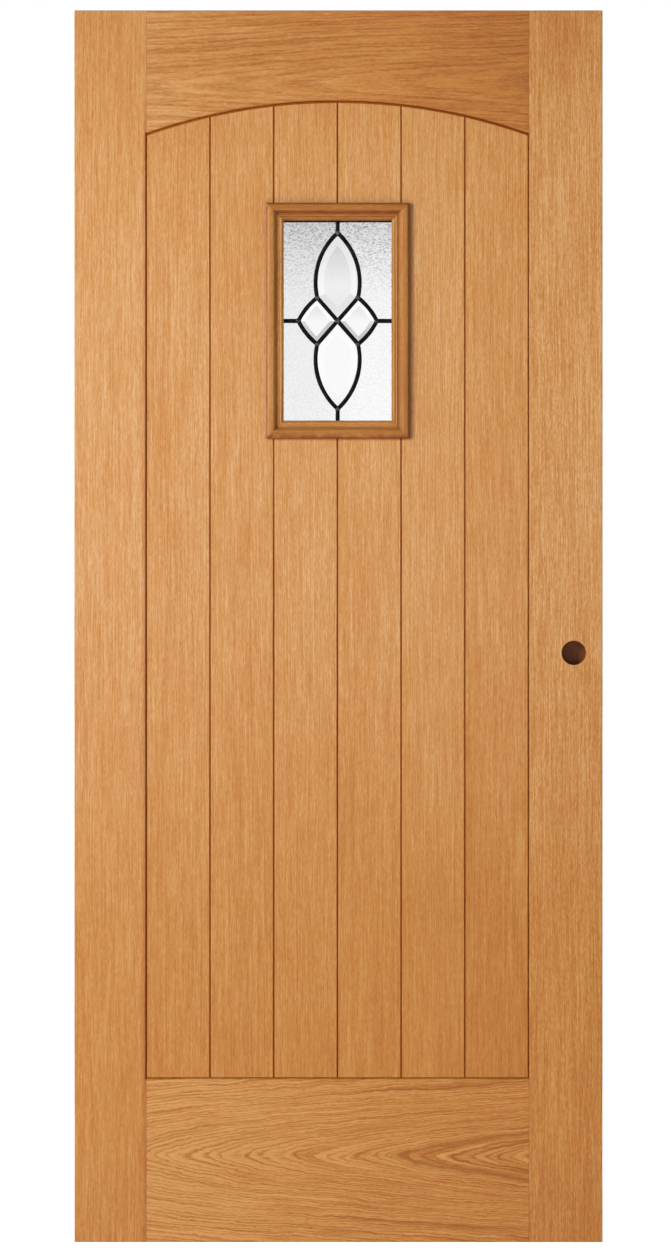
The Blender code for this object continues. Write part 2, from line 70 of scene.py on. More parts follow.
# Camera, from the place of the door in the photograph
CAMERA_DISTANCE = 12.0
VIEW_HEIGHT = 2.1723
SENSOR = 36.0
CAMERA_X = LEAF_WIDTH / 2 - 0.0052
CAMERA_Z = -0.0012
FAR_CLIP = 200.0

# The window's centre, and the width and height of its opening
WINDOW_X = 0.456
WINDOW_Z = 0.5295
SIGHT_WIDTH = 0.18713
SIGHT_HEIGHT = 0.347

# Moulding round the window
MOULDING_WIDTH = 0.0305
MOULDING_REACH_X = SIGHT_WIDTH / 2 + MOULDING_WIDTH
MOULDING_REACH_Z = SIGHT_HEIGHT / 2 + MOULDING_WIDTH
MOULDING_STEP = 0.003
MITRE_GAP = 0.00015
# Painted shadow of the moulding on the boards, and the strength of painted shade on its faces that look down
SHADE_WIDTH = 0.0055
SHADE_STRENGTH = 0.9
REEDS_START = 0.001
REEDS_END = 0.014
REEDS_ABOVE = 0.001
REED_UNEVENNESS = 0.00018
REED_WAVES_ALONG = 45
REED_WAVES_ACROSS = 300
SHARP_CORNER = math.radians(32.0)

# Leads
CAME_WIDTH = 0.0065
CAME_FRONT_Y = -0.0122
CAME_BACK_Y = -0.0042
CAME_EDGE = 0.0005
CAME_HEART = 0.0015
CAME_STEPS = 5
FLANGE_FRONT_Y = -0.0106
FLANGE_BACK_Y = -0.0058
BORDER_WIDTH = 0.005
BORDER_SHOWS = 0.0006
BORDER_HALF_WIDTH = 0.096
BORDER_HALF_HEIGHT = 0.17525
CLUSTER_HALF_WIDTH = 0.068
CLUSTER_HALF_HEIGHT = 0.1525
SHOULDER = (0.0353, 0.0403)
TALL_SWELL = 0.016
SIDE_SWELL = 0.003
BROAD_LEAD_SHARE = 1.12
LEAD_UNEVENNESS = 0.08
LEAD_WAVES = 70

# Solder
CENTRE_BUTTON = 0.0052
OUTER_BUTTON = 0.0045
BUTTON_SINK = 0.0002
BUTTON_UNEVENNESS = 0.22
BUTTON_WAVES = 90
BUTTON_RINGS = 5
BUTTON_SPOKES = 24

# Patterned panes
PEBBLE = 0.0036
PEBBLE_HEIGHT = 0.00016
COARSE_WAVE = 0.011
FINE_WAVE = 0.0017
PEBBLE_SINK = 0.0003
PANE_ROWS = 200
PANE_COLUMNS = 108
SAME_PLACE = 0.0001


# Nodes of a material

class Graph:
    """Adds and links the nodes of one material or world."""

    def __init__(self, owner):
        owner.use_nodes = True
        self.tree = owner.node_tree
        self.tree.nodes.clear()

    def add(self, kind, inputs=None, **settings):
        node = self.tree.nodes.new(kind)
        for key, value in settings.items():
            setattr(node, key, value)
        for key, value in (inputs or {}).items():
            self.feed(node.inputs[key], value)
        return node

    def feed(self, socket, value):
        if isinstance(value, bpy.types.NodeSocket):
            self.tree.links.new(value, socket)
        else:
            socket.default_value = value

    def maths(self, operation, *values, clamp=False):
        node = self.add("ShaderNodeMath", operation=operation, use_clamp=clamp)
        for socket, value in zip(node.inputs, values):
            self.feed(socket, value)
        return node.outputs[0]

    def total(self, *values):
        result = values[0]
        for value in values[1:]:
            result = self.maths("ADD", result, value)
        return result

    def weighted(self, *pairs):
        """The sum of values, each multiplied by its weight."""
        return self.total(*(self.maths("MULTIPLY", value, weight) for value, weight in pairs))

    def product(self, *values):
        result = values[0]
        for value in values[1:]:
            result = self.maths("MULTIPLY", result, value)
        return result

    def distance(self, value, place):
        return self.maths("ABSOLUTE", self.maths("SUBTRACT", value, place))

    def length(self, first, second):
        squares = (self.maths("MULTIPLY", value, value) for value in (first, second))
        return self.maths("SQRT", self.total(*squares))

    def axes(self, vector):
        return self.add("ShaderNodeSeparateXYZ", {"Vector": vector}).outputs[:]

    def place(self):
        return self.add("ShaderNodeTexCoord").outputs["Object"]

    def normal_axes(self):
        return self.axes(self.add("ShaderNodeTexCoord").outputs["Normal"])

    def point(self, x, y, z):
        return self.add("ShaderNodeCombineXYZ", {"X": x, "Y": y, "Z": z}).outputs[0]

    def scaled(self, axes, scales, shift=0.0):
        """The point whose axes are multiplied by the scales, moved along the last one."""
        x, y, z = (self.maths("MULTIPLY", axis, scale) for axis, scale in zip(axes, scales))
        return self.point(x, y, self.maths("ADD", z, shift))

    def noise(self, vector, detail=2.0, roughness=0.5, scale=1.0):
        """Noise from about -0.5 to 0.5."""
        node = self.add("ShaderNodeTexNoise", {"Vector": vector, "Scale": scale, "Detail": detail,
                                               "Roughness": roughness})
        return self.maths("SUBTRACT", node.outputs["Fac"], 0.5)

    def step(self, value, low, high, to_low=0.0, to_high=1.0):
        """A smooth change from one value to another between low and high."""
        node = self.add("ShaderNodeMapRange", {"Value": value, "From Min": low, "From Max": high,
                                               "To Min": to_low, "To Max": to_high},
                        interpolation_type="SMOOTHSTEP")
        return node.outputs[0]

    def ramp(self, factor, stops):
        node = self.add("ShaderNodeValToRGB", {"Fac": factor})
        elements = node.color_ramp.elements
        while len(elements) < len(stops):
            elements.new(0.5)
        for element, (place, colour) in zip(elements, stops):
            element.position = place
            element.color = (*colour, 1.0)
        return node.outputs["Color"]

    def mix(self, factor, first, second, blend="MIX"):
        node = self.add("ShaderNodeMix", data_type="RGBA", blend_type=blend)
        self.feed(node.inputs["Factor"], factor)
        for socket, value in zip((node.inputs[6], node.inputs[7]), (first, second)):
            self.feed(socket, (*value, 1.0) if isinstance(value, tuple) else value)
        return node.outputs[2]

    def times(self, first, second):
        """Two colours multiplied."""
        return self.mix(1.0, first, second, blend="MULTIPLY")

    def bump(self, height, distance):
        return self.add("ShaderNodeBump", {"Height": height, "Distance": distance}).outputs[0]

    def surface(self, inputs):
        shader = self.add("ShaderNodeBsdfPrincipled", inputs)
        self.add("ShaderNodeOutputMaterial", {"Surface": shader.outputs[0]})


def new_material(name):
    material = bpy.data.materials.new(name)
    return material, Graph(material)


def grey(level):
    return (level, level, level)


# Oak

OAK_DARK = (0.330, 0.114, 0.017)
OAK_BROWN = (0.398, 0.156, 0.030)
OAK_HONEY = (0.450, 0.206, 0.058)
OAK_PALE = (0.520, 0.296, 0.132)
OAK_TONES = ((0.0, OAK_DARK), (0.33, OAK_BROWN), (0.62, OAK_HONEY), (1.0, OAK_PALE))
DARK_GRAIN = (0.67, 0.55, 0.28)

# Stains with painted shade multiply the colour of the wood; the pale one is a painted highlight and the edge
# one painted shade
GROOVE_STAIN_AND_SHADE = (0.78, 0.48, 0.20)
DEEP_STAIN_AND_SHADE = (0.60, 0.36, 0.12)
LIGHT_STAIN_AND_SHADE = (0.90, 0.70, 0.45)
# A painted highlight on the bottom rail's chamfer
PAINTED_HIGHLIGHT = (1.25, 1.2, 1.1)
# Painted shade on the moulding's outer edge
EDGE_PAINTED_SHADE = (0.505, 0.31, 0.02)
# Dark cut wood with painted shade inside the bore
BORE_WOOD_AND_SHADE = (0.165, 0.039, 0.0)

# Painted sheen and shade from foot to head, paler about the middle and darker at foot and head, and a
# painted tint of the light from the hinge side to the lock side
PAINTED_SHEEN_UPWARDS = ((0.0, (0.787, 0.66, 0.40)),
                    (0.14, (0.795, 0.67, 0.405)),
                    (0.27, (0.807, 0.72, 0.50)),
                    (0.52, (0.893, 0.90, 0.945)),
                    (0.72, (0.895, 0.905, 0.94)),
                    (0.87, (0.863, 0.85, 0.80)),
                    (1.0, (0.755, 0.675, 0.48)))
PAINTED_LIGHT_SIDEWAYS = ((0.0, (0.95, 0.96, 0.985)),
                     (0.35, (0.965, 0.97, 0.965)),
                     (0.6, (0.985, 0.985, 0.965)),
                     (1.0, (0.985, 0.975, 0.92)))

# How fine each layer of the oak is: waves in a metre along, across and into the piece
SWAY = (1.3, 3.5, 3.5)
WOBBLE = (12.0, 26.0, 26.0)
SHIVER = (60.0, 170.0, 170.0)
RIPPLE = (48.0, 75.0, 75.0)
STREAK = (6.0, 190.0, 60.0)
FIBRE = (15.0, 360.0, 360.0)
DASH = (90.0, 400.0, 400.0)
MOTTLE = (2.6, 11.0, 11.0)
PORES = (75.0, 1900.0, 1900.0)
FLECKS = (38.0, 150.0, 150.0)
# Fineness of the unevenness in the moulding's painted shade and dirt
UNEVEN_DARKENING = (60.0, 60.0, 60.0)
GRAIN_RELIEF = 0.00018

# Where in a ring, from 0 to 1, its dark line fades out and comes back, and how dark it is when it does
LINE_FADES_OUT = 0.55
LINE_COMES_BACK = 0.8
LINE_BACK_SHARE = 0.7
RING_UNEVENNESS = 2.5

# How much each layer changes the figure, the tone and the gloss
FIBRE_SHARE = 0.9
DASH_SHARE = 1.0
PORE_TONE = -0.16
FLECK_TONE = 0.05
END_GRAIN_SHARE = 0.45
ROUGHNESS = 0.46
PORE_ROUGHNESS = 0.2
MOTTLE_ROUGHNESS = 0.15
OAK_SPECULAR = 0.3

# How a piece is usually cut from the tree and coloured. Lengths are in metres
USUAL_CUT = {
    "heart": -0.4,             # place of the tree's heart across the piece
    "pith": 0.04,              # how far the heart lies in front of the leaf's middle
    "taper": 0.004,            # growth of the rings' radius in a metre along the piece
    "spread": 1.0,             # share of that growth far from the heart
    "ring": 0.0042,            # usual width of one ring
    "sway": 0.012,             # wander of the rings over the whole piece
    "wobble": 0.0022,          # wander over some centimetres
    "shiver": 0.003,           # wander over some millimetres
    "ripple": 0.0,             # waviness of the rings themselves
    "tone": 0.66,              # from 0, dark, to 1, pale
    "drift": 0.0,              # change of tone in a metre along the piece
    "contrast": 1.1,           # strength of the figure
    "streak": 0.6,             # share of streaks in the figure
    "mottle": 0.3,             # share of clouds in the figure
    "lines": 0.35,             # strength of the rings' dark lines
    "bands": 0.0,              # strength of broad dark bands
    "broad": (0.0, 0.1),       # where along the piece those bands start and are full
    "brown": 0.0,              # how brown the darker parts of the figure are
    "shade": (1.0, 1.0, 1.0),  # colour that the whole piece is multiplied by
}


def cut_of(grain, seed, **changes):
    """How one piece is cut, with its grain along X or Z."""
    return {**USUAL_CUT, "grain": grain, "seed": seed, **changes}


def growth_rings(g, along, across, depth, cut):
    """The place across the grain and the distance from the tree's heart, as far as the rings wander."""
    place = (along, across, depth)
    seed = cut["seed"]
    sway = g.noise(g.scaled(place, SWAY, seed), detail=1.0)
    wobble = g.noise(g.scaled(place, WOBBLE, seed))
    shiver = g.noise(g.scaled(place, SHIVER, seed))
    wander = g.weighted((sway, cut["sway"]), (wobble, cut["wobble"]), (shiver, cut["shiver"]))
    across = g.maths("ADD", across, wander)
    side = g.maths("SUBTRACT", across, cut["heart"])
    radius = g.length(side, g.maths("ADD", depth, cut["pith"]))
    taper = g.step(g.maths("ABSOLUTE", side), 0.01, 0.15, cut["taper"], cut["taper"] * cut["spread"])
    radius = g.maths("SUBTRACT", radius, g.maths("MULTIPLY", along, taper))
    ripple = g.noise(g.scaled(place, RIPPLE, seed + 1.0))
    return across, g.maths("ADD", radius, g.maths("MULTIPLY", ripple, cut["ripple"]))


def ring_count(g, radius, cut):
    """How many rings lie inside a point. They are unevenly wide."""
    rings = g.maths("DIVIDE", radius, cut["ring"])
    uneven = g.noise(g.point(rings, cut["seed"], 0.0), scale=0.35)
    return g.maths("ADD", rings, g.maths("MULTIPLY", uneven, RING_UNEVENNESS))


def broad_bands(g, rings, along, across, cut):
    """Dark bands several rings wide, strongest near the heart and towards one end of the piece."""
    place = g.point(g.maths("MULTIPLY", rings, 0.3), g.maths("MULTIPLY", along, 2.0), cut["seed"])
    band = g.step(g.noise(place, detail=1.0), 0.02, 0.2)
    towards_end = g.step(along, *cut["broad"], 0.3 * cut["bands"], cut["bands"])
    near_heart = g.step(g.distance(across, cut["heart"]), 0.03, 0.08, 1.0, 0.4)
    return g.product(band, towards_end, near_heart)


def painted_sheen_and_shade(g, x, z):
    """Painted sheen and shade over the leaf's height, and a painted tint of the light across it."""
    height = g.maths("DIVIDE", g.maths("SUBTRACT", z, LEAF_FOOT_Z), -2 * LEAF_FOOT_Z)
    sideways = g.maths("DIVIDE", x, LEAF_WIDTH)
    return g.times(g.ramp(height, PAINTED_SHEEN_UPWARDS), g.ramp(sideways, PAINTED_LIGHT_SIDEWAYS))


def oak(name, cut, overlay=None):
    """Satin oak: rings, fibres, pores and flecks along the piece's own grain."""
    material, g = new_material(name)
    x, y, z = g.axes(g.place())
    upright = cut["grain"] == "Z"
    along, across = (z, x) if upright else (x, z)
    across, radius = growth_rings(g, along, across, y, cut)
    place = (along, across, y)
    seed = cut["seed"]

    # A dark line of early wood lies on each ring's boundary
    rings = ring_count(g, radius, cut)
    in_ring = g.maths("FRACT", rings)
    early = g.total(g.step(in_ring, 0.0, LINE_FADES_OUT, 1.0, 0.0),
                    g.step(in_ring, LINE_COMES_BACK, 1.0, 0.0, LINE_BACK_SHARE))
    strength = g.noise(g.point(g.maths("MULTIPLY", rings, 0.9), g.maths("MULTIPLY", along, 3.0), seed),
                       detail=1.0)
    strength = g.maths("ADD", g.maths("MULTIPLY", strength, 1.6), 0.6, clamp=True)
    lines = g.maths("MULTIPLY", early, strength)

    # Layers of the figure
    streak = g.noise(g.scaled((along, radius, y), STREAK, seed + 4.0), detail=3.0, roughness=0.6)
    fibre = g.noise(g.scaled(place, FIBRE, seed + 4.0), detail=3.0, roughness=0.62)
    dash = g.noise(g.scaled(place, DASH, seed + 6.0), roughness=0.9)
    mottle = g.noise(g.scaled(place, MOTTLE, seed + 9.0))
    pores = g.step(g.noise(g.scaled(place, PORES, seed), detail=1.0), 0.06, 0.2)
    pores = g.maths("MULTIPLY", pores, g.maths("ADD", g.maths("MULTIPLY", early, 0.7), 0.3))
    flecks = g.step(g.noise(g.scaled(place, FLECKS, seed + 2.0), detail=1.0), 0.08, 0.2)
    figure = g.weighted((streak, cut["streak"]), (fibre, FIBRE_SHARE), (dash, DASH_SHARE),
                        (mottle, cut["mottle"]))

    # Colour
    tone = g.maths("ADD", g.maths("MULTIPLY", along, cut["drift"]), cut["tone"])
    tone = g.total(tone, g.weighted((figure, cut["contrast"]), (pores, PORE_TONE), (flecks, FLECK_TONE)))
    dark = g.total(broad_bands(g, rings, along, across, cut),
                   g.weighted((lines, cut["lines"]), (figure, -cut["brown"])))
    colour = tinted(g, g.ramp(tone, OAK_TONES), dark, DARK_GRAIN)
    end_grain = g.maths("ABSOLUTE", g.normal_axes()[2 if upright else 0])
    colour = g.mix(g.step(end_grain, 0.55, 0.95, 0.0, END_GRAIN_SHARE), colour, OAK_DARK)
    # Painted sheen, shade and light by place on the leaf, then the piece's shade colour, which on the
    # moulding's sides is partly painted shade
    colour = g.times(g.times(colour, painted_sheen_and_shade(g, x, z)), cut["shade"])
    if overlay:
        colour = overlay(g, colour, (x, y, z))

    height = g.weighted((fibre, 0.5), (pores, -1.0), (lines, -0.25))
    gloss = g.total(ROUGHNESS, g.weighted((pores, PORE_ROUGHNESS), (mottle, MOTTLE_ROUGHNESS)))
    g.surface({"Base Color": colour, "Roughness": gloss, "Normal": g.bump(height, GRAIN_RELIEF),
               "Specular IOR Level": OAK_SPECULAR})
    return material


# Stains

# Multiplies a colour in as far as amount says: the grain's dark, stains, painted shade and a painted
# highlight
def tinted(g, colour, amount, overlay):
    return g.mix(amount, colour, g.times(colour, overlay))


def depth_below(g, y, front, thickness):
    """How far a point lies below the nearer face of a board."""
    return g.maths("SUBTRACT", thickness / 2, g.distance(y, front + thickness / 2))


def board_stain_and_shade(g, colour, axes):
    """Stain and painted shade in the V between two boards, and a painted shadow beside the moulding on the
    right and below it.
    """
    x, y, z = axes
    depth = depth_below(g, y, BOARD_FRONT_Y, BOARD_DEPTH)
    # Stain and painted shade, darker deeper into the V
    colour = tinted(g, colour, g.step(depth, 0.0, BOARD_V_DEPTH), GROOVE_STAIN_AND_SHADE)
    # A painted shadow of the moulding on the boards to its right and below it
    right = g.maths("SUBTRACT", x, WINDOW_X + MOULDING_REACH_X)
    below = g.maths("SUBTRACT", WINDOW_Z - MOULDING_REACH_Z, z)
    left = g.maths("SUBTRACT", WINDOW_X - MOULDING_REACH_X + SHADE_WIDTH, x)
    above = g.maths("SUBTRACT", z, WINDOW_Z + MOULDING_REACH_Z - SHADE_WIDTH)
    outside = g.maths("MAXIMUM", g.maths("MAXIMUM", right, below), g.maths("MAXIMUM", left, above))
    front = g.maths("LESS_THAN", y, BOARD_FRONT_Y + BOARD_DEPTH / 2)
    painted_shade_beside = g.maths("MULTIPLY", front, g.step(outside, 0.0, SHADE_WIDTH, SHADE_STRENGTH, 0.0))
    return tinted(g, colour, painted_shade_beside, DEEP_STAIN_AND_SHADE)


def in_bore(g, x, y, z):
    """One in the lock bore and nought elsewhere."""
    close = 0.0002
    from_axis = g.length(g.maths("SUBTRACT", x, BORE_X), g.maths("SUBTRACT", z, BORE_Z))
    return g.product(g.maths("LESS_THAN", from_axis, BORE_RADIUS + close),
                     g.maths("LESS_THAN", y, LEAF_FRONT_Y + BORE_DEPTH + close))


def frame_stain_and_shade(overlay, spread=0.0):
    """Stain and painted shade on the chamfer round the panel, a band of painted shade beside the left one,
    and the bore's dark wood with painted shade.
    """
    def tint(g, colour, axes):
        x, y, z = axes
        depth = depth_below(g, y, LEAF_FRONT_Y, FRAME_DEPTH)
        inner = g.product(g.maths("GREATER_THAN", x, CHAMFER_LEFT), g.maths("LESS_THAN", x, CHAMFER_RIGHT),
                          g.maths("GREATER_THAN", z, CHAMFER_FOOT), g.maths("LESS_THAN", z, CHAMFER_HEAD),
                          g.step(depth, CHAMFER_STARTS, CHAMFER_FULL))
        # Stain and painted shade on the chamfer, deeper on the hinge side, which faces away from the light
        colour = tinted(g, colour, inner, overlay)
        # A band of painted shade on the hinge stile beside its chamfer
        painted_shade_beside = g.product(g.step(x, CHAMFER_LEFT - SPREAD_WIDTH, CHAMFER_LEFT, 0.0, spread),
                           g.step(z, SPREAD_ENDS, SPREAD_FULL))
        colour = tinted(g, colour, painted_shade_beside, GROOVE_STAIN_AND_SHADE)
        # Dark cut wood with painted shade inside the bore
        return g.mix(in_bore(g, x, y, z), colour, BORE_WOOD_AND_SHADE)
    return tint


# Dark lines of painted shade and dirt along the moulding: from and to in metres outwards from the sight
# edge, and how strong
MOULDING_LINES = ((-0.001, 0.0012, 0.8), (0.0063, 0.0072, 0.6), (0.0114, 0.0135, 0.9))
LINE_FADE = 0.0005


def moulding_stain_and_shade(quirks, edge, reach):
    """Painted shade on faces that look down, painted shade and dirt in the quirks, and painted shade towards
    the outer edge, uneven along their length.
    """
    def tint(g, colour, axes):
        x, _, z = axes
        out_x = g.maths("SUBTRACT", g.distance(x, WINDOW_X), SIGHT_WIDTH / 2)
        out_z = g.maths("SUBTRACT", g.distance(z, WINDOW_Z), SIGHT_HEIGHT / 2)
        out = g.maths("MAXIMUM", out_x, out_z)
        # Painted shade on the moulding's faces that look down
        painted_shade_and_dirt = g.step(g.normal_axes()[2], -0.2, -0.75, 0.0, SHADE_STRENGTH)
        for near, far, strength in MOULDING_LINES:
            line = g.product(g.step(out, near, near + LINE_FADE), g.step(out, far, far - LINE_FADE),
                             strength * quirks)
            painted_shade_and_dirt = g.maths("MAXIMUM", painted_shade_and_dirt, line)
        # Painted shade towards the moulding's outer edge
        at_edge = g.step(out, *reach, 0.0, edge)
        inside = g.maths("SUBTRACT", 1.0, at_edge, clamp=True)
        uneven = g.step(g.noise(g.scaled(axes, UNEVEN_DARKENING)), -0.2, 0.1, 0.55, 1.0)
        colour = tinted(g, colour, g.product(painted_shade_and_dirt, inside, uneven), DEEP_STAIN_AND_SHADE)
        return tinted(g, colour, g.product(at_edge, uneven), EDGE_PAINTED_SHADE)
    return tint


# Shapes

def new_piece(name, points, faces, material, flat=0):
    """A mesh that rides on the door. Its last faces, as many as flat says, are shaded flat."""
    mesh = bpy.data.meshes.new(name)
    mesh.from_pydata(points, [], faces)
    mesh.validate()
    mesh.materials.append(material)
    flags = [True] * (len(mesh.polygons) - flat) + [False] * flat
    mesh.polygons.foreach_set("use_smooth", flags)
    piece = bpy.data.objects.new(name, mesh)
    bpy.context.scene.collection.objects.link(piece)
    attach(piece, "root")
    return piece


def arc(start, end, swell, steps):
    """Points from start to end on an arc that swells away from the origin."""
    first, last = Vector(start), Vector(end)
    if not swell:
        return [first.lerp(last, i / steps) for i in range(steps + 1)]
    chord = last - first
    outwards = Vector((-chord.y, chord.x)).normalized()
    middle = (first + last) / 2
    if outwards.dot(middle) < 0:
        outwards.negate()
    radius = (chord.length_squared / 4 + swell * swell) / (2 * swell)
    centre = middle - outwards * (radius - swell)
    begin = first - centre
    turn = begin.angle_signed(last - centre)
    points = []
    for i in range(steps + 1):
        angle = -turn * i / steps
        points.append(centre + Vector((begin.x * math.cos(angle) - begin.y * math.sin(angle),
                                       begin.x * math.sin(angle) + begin.y * math.cos(angle))))
    return points


def tube_faces(first, count, spans):
    """Faces of a closed tube through sections of count points, with a cap at each end."""
    last = first + spans * count
    faces = []
    for start in range(first, last, count):
        for i in range(count):
            after = (i + 1) % count
            faces.append((start + i, start + after, start + count + after, start + count + i))
    faces.append(tuple(reversed(range(first, first + count))))
    faces.append(tuple(range(last, last + count)))
    return faces


# Moulding

def moulding_section():
    """Section of the front moulding, outwards from the sight edge and up from the boards, in millimetres."""
    section = [(0.0, -8.0), (0.0, 0.4), (1.6, 2.1)]
    section += arc((1.9, 2.1), (6.6, 2.8), 1.0, 8)
    section += arc((6.9, 2.8), (11.1, 2.5), 1.1, 8)
    section += [(11.5, 2.2), (12.6, 2.2), (13.0, 3.0), (15.3, 8.6)]
    section += arc((15.6, 9.2), (17.2, 11.0), 0.3, 4)
    section += arc((17.2, 11.0), (27.2, 11.0), 0.65, 12)[1:]
    section += arc((27.2, 11.0), (28.6, 9.2), 0.35, 5)[1:]
    section += [(28.7, 7.9), (29.1, 7.7)]
    section += arc((29.3, 7.9), (30.5, 6.4), 0.4, 4)
    return section + [(30.5, 0.3), (16.9, 0.3), (16.9, -16.0), (5.3, -16.0), (5.3, -8.0)]


def moulding_side(side, turn, material):
    """One mitred side of the moulding round the window, turned from the top to its place."""
    half_length, half_across = SIGHT_WIDTH / 2, SIGHT_HEIGHT / 2
    if side in ("left", "right"):
        half_length, half_across = half_across, half_length
    cosine, sine = round(math.cos(turn)), round(math.sin(turn))
    section = [(outwards / 1000, height / 1000) for outwards, height in moulding_section()]
    count = len(section)
    steps = round(2 * half_length / MOULDING_STEP)
    points = []
    for step in range(steps + 1):
        for outwards, height in section:
            along = (half_length + outwards - MITRE_GAP) * (2 * step / steps - 1)
            if REEDS_START < outwards < REEDS_END and height > REEDS_ABOVE:
                place = Vector((along * REED_WAVES_ALONG, outwards * REED_WAVES_ACROSS, turn))
                height += REED_UNEVENNESS * noise.noise(place)
            across = half_across + outwards
            points.append((WINDOW_X + along * cosine - across * sine, BOARD_FRONT_Y - height,
                           WINDOW_Z + along * sine + across * cosine))
    piece = new_piece("moulded_" + side, points, tube_faces(0, count, steps), material)
    piece.data.set_sharp_from_angle(angle=SHARP_CORNER)
    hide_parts("moulding_" + side)


# Glass

# Painted shade in the patterned glass, deepening towards its top
PATTERNED_PAINTED_SHADE = ((0.0, (0.925, 0.93, 0.93)),
                   (0.45, (0.90, 0.905, 0.905)),
                   (0.66, (0.88, 0.885, 0.88)),
                   (0.85, (0.80, 0.80, 0.795)),
                   (1.0, (0.66, 0.66, 0.655)))
# The panes a little darker on the left than on the right
PATTERNED_SIDES = ((0.0, grey(0.95)), (1.0, grey(1.04)))
# A painted speckle of shade among the pebbles
PATTERNED_PAINTED_SPECKLE = grey(0.16)
SIDE_FADE = 0.05
SPECKLE_TURN = (0.0, math.radians(35.0), 0.0)
SPECKLE_FINENESS = (250.0, 250.0, 400.0)
# Painted shade in the bevelled glass by height, its painted speckle, and painted shade on bevels that look
# down
BEVELLED_PAINTED_SHADE = ((0.0, (0.95, 0.955, 0.952)),
                  (0.50, (0.93, 0.935, 0.932)),
                  (0.56, (0.80, 0.805, 0.805)),
                  (0.70, (0.87, 0.875, 0.875)),
                  (0.93, (0.65, 0.655, 0.655)))
BEVELLED_PAINTED_SPECKLE = grey(0.3)
BEVEL_PAINTED_SHADE = ((0.0, (0.995, 0.997, 0.996)), (1.0, (0.88, 0.89, 0.89)))


def glass(name, tint, roughness, grain_scale, grain_height):
    """See-through glass with a faint unevenness."""
    material, g = new_material(name)
    place = g.place()
    grain = g.noise(place, scale=grain_scale)
    haze = g.maths("ADD", g.maths("MULTIPLY", grain, roughness), roughness)
    g.surface({"Base Color": tint(g, place), "Roughness": haze, "Normal": g.bump(grain, grain_height),
               "IOR": 1.5, "Transmission Weight": 1.0})
    return material


def height_share(g, z, half_height):
    """How high a point lies in the window, from 0 to 1 over twice the half height."""
    return g.maths("DIVIDE", g.maths("SUBTRACT", z, WINDOW_Z - half_height), 2 * half_height)


def patterned_shaded_tint(g, place):
    """The patterned glass's grey with painted shade, deeper towards its top and a little darker on the left,
    and a painted speckle of shade among its pebbles.
    """
    x, _, z = g.axes(place)
    height = height_share(g, z, SIGHT_HEIGHT / 2)
    sideways = g.step(x, WINDOW_X - SIDE_FADE, WINDOW_X + SIDE_FADE)
    tint = g.times(g.ramp(height, PATTERNED_PAINTED_SHADE), g.ramp(sideways, PATTERNED_SIDES))
    turned = g.add("ShaderNodeMapping", {"Vector": place, "Rotation": SPECKLE_TURN,
                                         "Scale": SPECKLE_FINENESS}).outputs[0]
    speckle = g.product(g.step(g.noise(turned), 0.0, 0.16), g.step(height, 0.5, 1.1, 0.15, 1.0))
    return g.mix(speckle, tint, PATTERNED_PAINTED_SPECKLE)


def bevelled_shaded_tint(g, place):
    """Painted shade that deepens towards the top of the flat middles, with a painted speckle, while bevels
    facing up stay bright and those facing down get painted shade.
    """
    height = height_share(g, g.axes(place)[2], CLUSTER_HALF_HEIGHT)
    speckle = g.product(g.step(g.noise(place, scale=420.0), 0.0, 0.2), g.step(height, 0.5, 1.0, 0.0, 0.3))
    middle = g.mix(speckle, g.ramp(height, BEVELLED_PAINTED_SHADE), BEVELLED_PAINTED_SPECKLE)
    _, forward, up = g.normal_axes()
    # Painted shade on the bevels that look down
    bevel = g.ramp(g.step(up, -0.02, -0.12), BEVEL_PAINTED_SHADE)
    flat = g.step(g.maths("ABSOLUTE", forward), 0.985, 0.998)
    return g.mix(flat, bevel, middle)


def inner_edge(name):
    """A corner pane's edge along the cluster, measured from the window's centre, and its outer side."""
    spots = [vertex.co for vertex in NODES[name].data.vertices]
    front = min(spot.y for spot in spots)
    pairs = {(round(abs(spot.z - WINDOW_Z), 5), round(abs(spot.x - WINDOW_X), 5))
             for spot in spots if spot.y < front + SAME_PLACE}
    outer = max(side for _, side in pairs)
    return sorted(pair for pair in pairs if pair[1] < outer - SAME_PLACE), outer


def side_at(edge, height):
    for (low, start), (high, end) in zip(edge, edge[1:]):
        if low <= height <= high:
            return start + (end - start) * (height - low) / max(high - low, 1e-9)
    return edge[-1][1]


def pebbles(x, z):
    """Relief of the patterned face: rolled pebbles with finer ripples on them."""
    distances = noise.voronoi(Vector((x / PEBBLE, z / PEBBLE, 0.0)))[0]
    coarse = noise.noise(Vector((x / COARSE_WAVE, z / COARSE_WAVE, 2.0)))
    fine = noise.noise(Vector((x / FINE_WAVE, z / FINE_WAVE, 7.0)))
    return PEBBLE_HEIGHT * (min(distances[0], 1.0) * 1.6 - 0.8 + 0.7 * coarse + 0.35 * fine)


